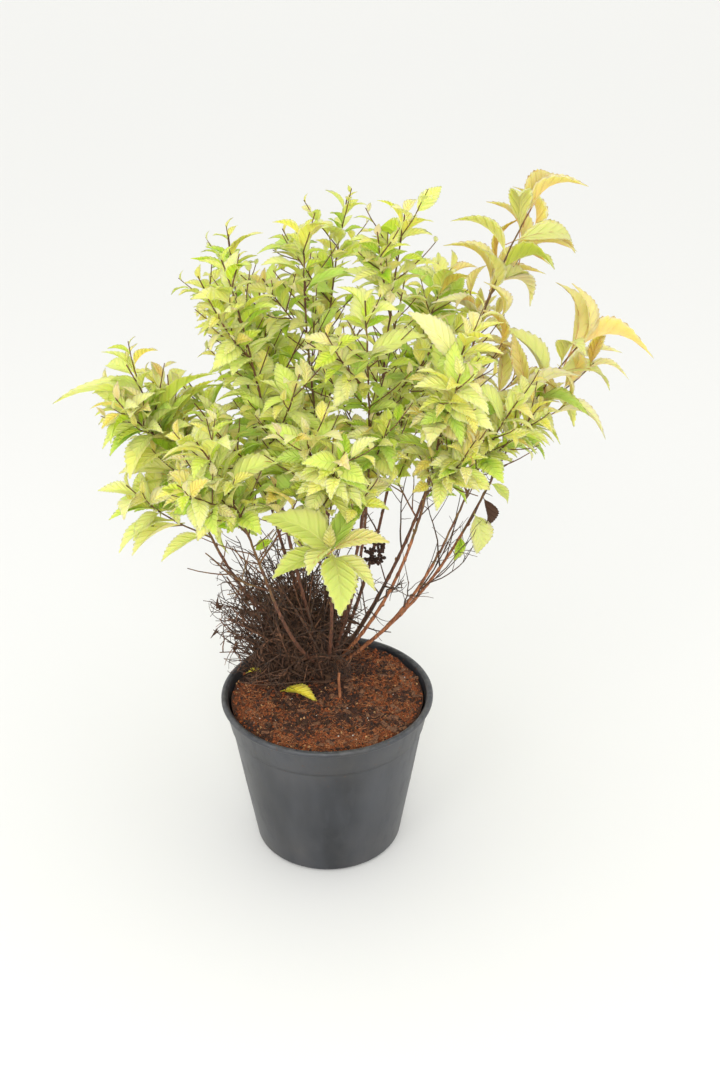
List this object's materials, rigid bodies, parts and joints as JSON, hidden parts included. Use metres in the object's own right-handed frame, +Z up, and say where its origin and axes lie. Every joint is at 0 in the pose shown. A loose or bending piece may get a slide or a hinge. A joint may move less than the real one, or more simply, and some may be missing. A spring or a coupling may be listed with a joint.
{
  "type": "potted spirea shrub",
  "caption": "Young spirea shrub in a round plastic nursery pot: thin woody stems fan out from a woody base into loose leafy sprays with autumn tints.",
  "frame": {"origin": "centre of the pot's flat underside", "axes": "+Z up, -Y the front of the pot, +X the side towards which the shrub leans"},
  "size_m": [0.343, 0.27, 0.4076],
  "materials": {
    "pot_plastic": "moulded anthracite plastic with a soft sheen",
    "potting_soil": "moist reddish-brown fibre and peat crumbs",
    "base_wood": "rough brown wood",
    "stem_bark": "reddish-brown bark with small buds",
    "dead_wood": "dull blackish-brown dead twigs",
    "lime_leaf": "satin lime-green leaves",
    "gold_leaf": "satin yellow-green leaves",
    "apricot_leaf": "satin apricot leaves",
    "shed_leaf": "yellow fallen leaf"
  },
  "bodies": {
    "root": {"pot": "pot_plastic", "soil": "potting_soil", "woody_base": "base_wood", "stem_1": "stem_bark", "stem_2": "stem_bark", "stem_3": "stem_bark", "stem_4": "stem_bark", "stem_5": "stem_bark", "stem_6": "stem_bark", "stem_7": "stem_bark", "stem_8": "stem_bark", "stem_9": "stem_bark", "stem_10": "stem_bark", "stem_11": "stem_bark", "stem_12": "stem_bark", "stem_13": "stem_bark", "stem_14": "stem_bark", "stem_15": "stem_bark", "leafy_spray_1": "apricot_leaf", "leafy_spray_2": "gold_leaf", "leafy_spray_3": "lime_leaf", "leafy_spray_4": "lime_leaf", "leafy_spray_5": "lime_leaf", "leafy_spray_6": "gold_leaf", "leafy_spray_7": "lime_leaf", "leafy_spray_8": "apricot_leaf", "leafy_spray_9": "gold_leaf", "leafy_spray_10": "lime_leaf", "leafy_spray_11": "lime_leaf", "leafy_spray_12": "lime_leaf", "leafy_spray_13": "gold_leaf", "leafy_spray_14": "lime_leaf", "leafy_spray_15": "apricot_leaf", "old_twigs_1": "dead_wood", "old_twigs_2": "dead_wood", "old_twigs_3": "dead_wood", "old_twigs_4": "dead_wood", "old_twigs_5": "dead_wood", "shed_leaf_1": "shed_leaf", "shed_leaf_2": "shed_leaf"}
  },
  "joints": []
}
